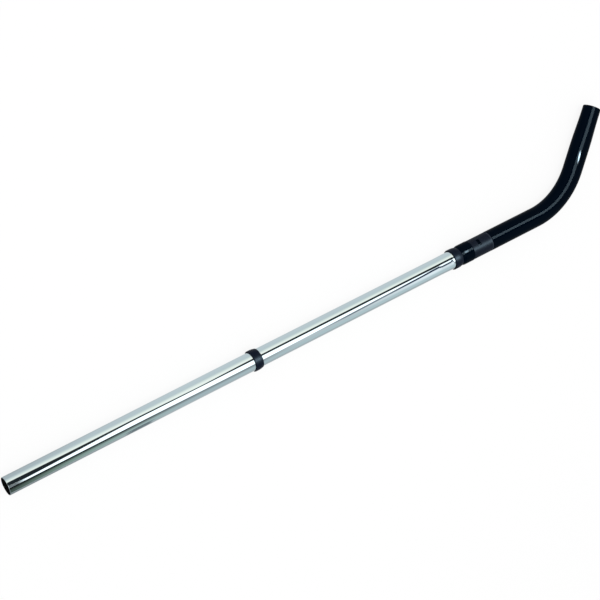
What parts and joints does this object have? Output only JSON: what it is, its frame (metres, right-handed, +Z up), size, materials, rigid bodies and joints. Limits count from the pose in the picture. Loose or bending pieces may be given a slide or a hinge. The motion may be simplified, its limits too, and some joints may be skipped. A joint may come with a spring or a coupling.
{
  "type": "vacuum cleaner tube",
  "caption": "Chrome vacuum cleaner tube in push-fit lengths with black collars, and a bent black hand tube that carries a turning air regulator sleeve.",
  "frame": {"origin": "centre of the open tool end, on the axis of the straight tubes", "axes": "+X along the straight tubes from the tool end towards the hand tube, +Y the side the hand tube bends to, +Z up as the tube lies flat on the floor"},
  "size_m": [1.4629, 0.1946, 0.0422],
  "materials": {
    "chrome": "bright chrome plate on thin steel tube",
    "collar_plastic": "satin black moulded plastic",
    "handle_plastic": "gloss black moulded plastic",
    "regulator_plastic": "satin charcoal moulded plastic"
  },
  "bodies": {
    "lower": {"lower_tube": "chrome", "lower_collar": "collar_plastic"},
    "upper": {"upper_tube": "chrome", "upper_collar": "collar_plastic"},
    "handle": {"bent_handle": "handle_plastic"},
    "regulator": {"air_regulator": "regulator_plastic"}
  },
  "joints": [
    {"name": "upper_tube_pull", "type": "slide", "parent": "lower", "child": "upper", "axis": [1, 0, 0], "range_m": [0, 0.07]},
    {"name": "handle_pull", "type": "slide", "parent": "upper", "child": "handle", "axis": [1, 0, 0], "range_m": [0, 0.07]},
    {"name": "regulator_turn", "type": "hinge", "parent": "handle", "child": "regulator", "pos_m": [1.0832, 0, 0], "axis": [1, 0, 0], "range_deg": [0, 60]}
  ]
}
